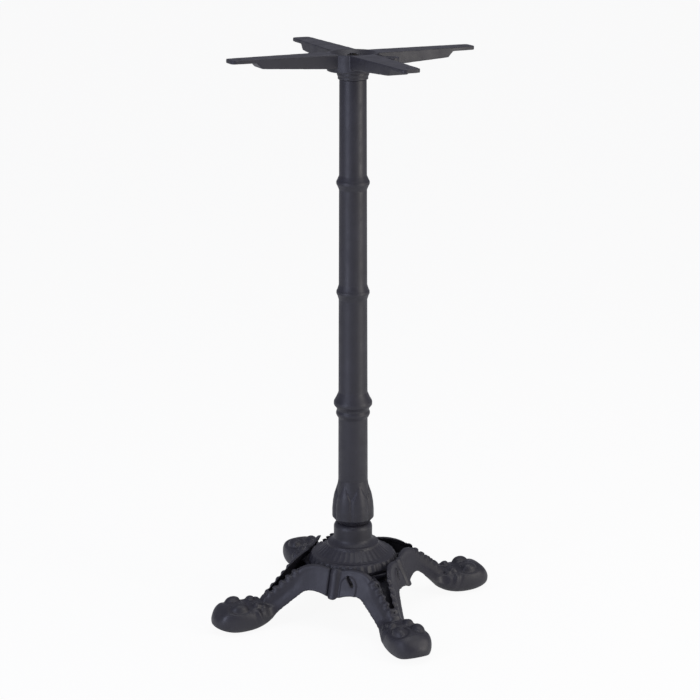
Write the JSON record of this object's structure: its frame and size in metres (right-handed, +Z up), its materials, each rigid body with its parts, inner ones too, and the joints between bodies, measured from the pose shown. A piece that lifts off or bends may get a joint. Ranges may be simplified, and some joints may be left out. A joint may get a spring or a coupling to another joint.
{
  "type": "bar height table base",
  "caption": "Tall cast-iron table base: paw-footed legs under a fluted bell, a ringed tapering column with a petal foot, and a cross of arms that carries the table top.",
  "frame": {"origin": "on the floor, under the column's axis", "axes": "+Z up along the column; legs and arms along +X, -X, +Y and -Y; the slotted legs along -Y (front) and +Y"},
  "size_m": [0.568, 0.568, 1.05],
  "materials": {
    "black_cast_iron": "satin black paint on a sand casting",
    "black_steel": "black oxide"
  },
  "bodies": {
    "root": {"leg_front": "black_cast_iron", "leg_back": "black_cast_iron", "leg_left": "black_cast_iron", "leg_right": "black_cast_iron", "bell": "black_cast_iron", "column": "black_cast_iron", "top_spider": "black_cast_iron", "clamp_plate": "black_steel", "tie_rod": "black_steel", "top_washer": "black_steel", "top_spring_washer": "black_steel", "top_nut": "black_steel", "bottom_washer": "black_steel", "bottom_spring_washer": "black_steel", "bottom_nut": "black_steel"}
  },
  "joints": []
}
